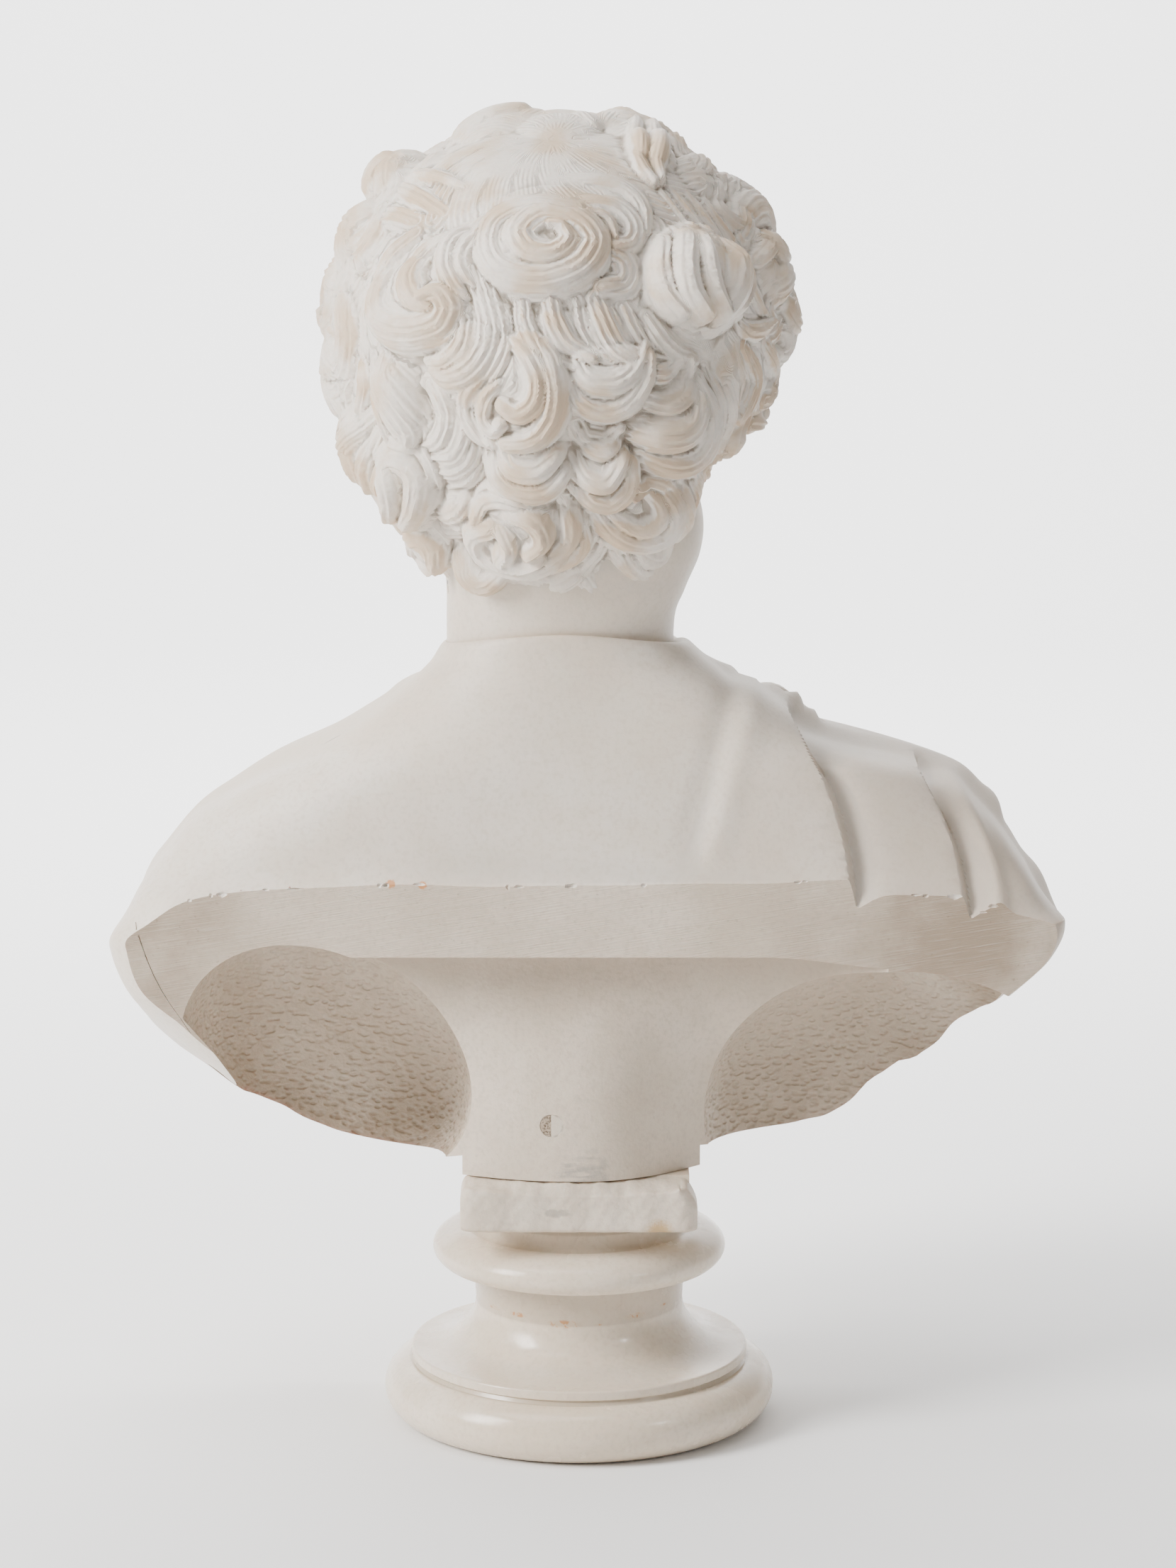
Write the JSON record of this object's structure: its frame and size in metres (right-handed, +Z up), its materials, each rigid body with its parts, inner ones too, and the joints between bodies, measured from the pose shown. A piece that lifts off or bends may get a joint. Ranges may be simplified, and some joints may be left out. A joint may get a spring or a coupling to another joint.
{
  "type": "marble portrait bust",
  "caption": "Life-size marble bust of a curly-haired ancient ruler in a draped cloak, hollowed behind, on a turned socle.",
  "frame": {"origin": "middle of the socle's underside", "axes": "+Z up; -Y the way the bust's chest faces; +X to the figure's left"},
  "size_m": [0.511, 0.2616, 0.712],
  "materials": {
    "honed_marble": "carved white marble, honed and aged, grey-beige with a warm patina in the hair and dirt in the hollows",
    "polished_marble": "turned cream marble with a worn polish and a few rust-orange specks"
  },
  "bodies": {
    "root": {"bust": "honed_marble", "socle": "polished_marble"}
  },
  "joints": []
}
